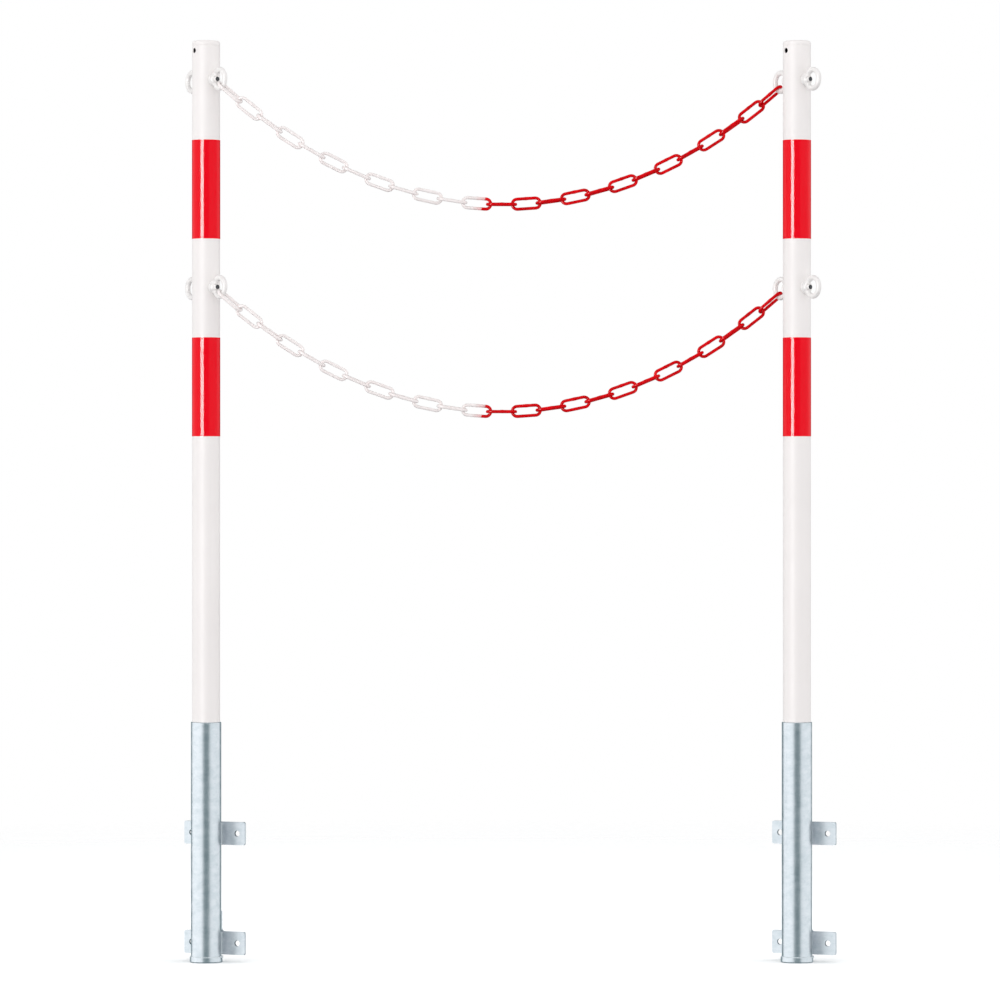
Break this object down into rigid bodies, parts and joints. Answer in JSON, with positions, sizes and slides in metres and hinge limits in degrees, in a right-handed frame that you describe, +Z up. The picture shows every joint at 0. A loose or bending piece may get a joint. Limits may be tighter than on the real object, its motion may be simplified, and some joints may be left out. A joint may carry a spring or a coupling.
{
  "type": "chain barrier post set",
  "caption": "Pair of lift-out barrier posts in ground sleeves, joined by red and white chains hung from eye nuts.",
  "frame": {"origin": "ground level, midway between the two post axes, level with the tops of the sleeves", "axes": "+Z up along the posts, +X from the left post to the right post, -Y the front"},
  "size_m": [0.994, 0.0962, 1.4],
  "materials": {
    "white_coating": "smooth semi-gloss powder coating, warm white",
    "red_reflective_film": "glossy red retroreflective film",
    "stud_steel": "dark steel thread",
    "galvanised_steel": "bright hot-dip galvanised, faint spangle",
    "white_chain_coating": "white dipped coating, semi-gloss",
    "red_chain_coating": "red dipped coating, glossy"
  },
  "bodies": {
    "ground_sleeves": {"left_sleeve_tube": "galvanised_steel", "left_sleeve_base": "galvanised_steel", "left_upper_anchor_plate": "galvanised_steel", "left_lower_anchor_plate": "galvanised_steel", "right_sleeve_tube": "galvanised_steel", "right_sleeve_base": "galvanised_steel", "right_upper_anchor_plate": "galvanised_steel", "right_lower_anchor_plate": "galvanised_steel"},
    "left_post": {"left_post_tube": "white_coating", "left_post_cap": "white_coating", "left_upper_band": "red_reflective_film", "left_upper_stud": "stud_steel", "left_upper_front_eye": "white_coating", "left_upper_rear_eye": "white_coating", "upper_chain_left_end_link": "white_chain_coating", "left_lower_band": "red_reflective_film", "left_lower_stud": "stud_steel", "left_lower_front_eye": "white_coating", "left_lower_rear_eye": "white_coating", "lower_chain_left_end_link": "white_chain_coating"},
    "right_post": {"right_post_tube": "white_coating", "right_post_cap": "white_coating", "right_upper_band": "red_reflective_film", "right_upper_stud": "stud_steel", "right_upper_front_eye": "white_coating", "right_upper_rear_eye": "white_coating", "upper_chain_right_end_link": "red_chain_coating", "right_lower_band": "red_reflective_film", "right_lower_stud": "stud_steel", "right_lower_front_eye": "white_coating", "right_lower_rear_eye": "white_coating", "lower_chain_right_end_link": "red_chain_coating"},
    "upper_chain": {"upper_chain_white_links": "white_chain_coating", "upper_chain_two_tone_link": "white_chain_coating", "upper_chain_red_links": "red_chain_coating"},
    "lower_chain": {"lower_chain_white_links": "white_chain_coating", "lower_chain_two_tone_link": "white_chain_coating", "lower_chain_red_links": "red_chain_coating"}
  },
  "joints": [
    {"name": "left_post_lift", "type": "slide", "parent": "ground_sleeves", "child": "left_post", "axis": [0, 0, 1], "range_m": [0, 0.36]},
    {"name": "right_post_lift", "type": "slide", "parent": "ground_sleeves", "child": "right_post", "axis": [0, 0, 1], "range_m": [0, 0.36]},
    {"name": "upper_chain_swing", "type": "hinge", "parent": "left_post", "child": "upper_chain", "pos_m": [-0.39639, -0.03625, 0.94156], "axis": [0.9958, 0.0911, 0], "range_deg": [-20, 20]},
    {"name": "lower_chain_swing", "type": "hinge", "parent": "left_post", "child": "lower_chain", "pos_m": [-0.39639, -0.03625, 0.62656], "axis": [0.9958, 0.0911, 0], "range_deg": [-20, 20]}
  ],
  "couplings": [
    {"joint": "right_post_lift", "follows": "left_post_lift", "ratio": 1}
  ]
}
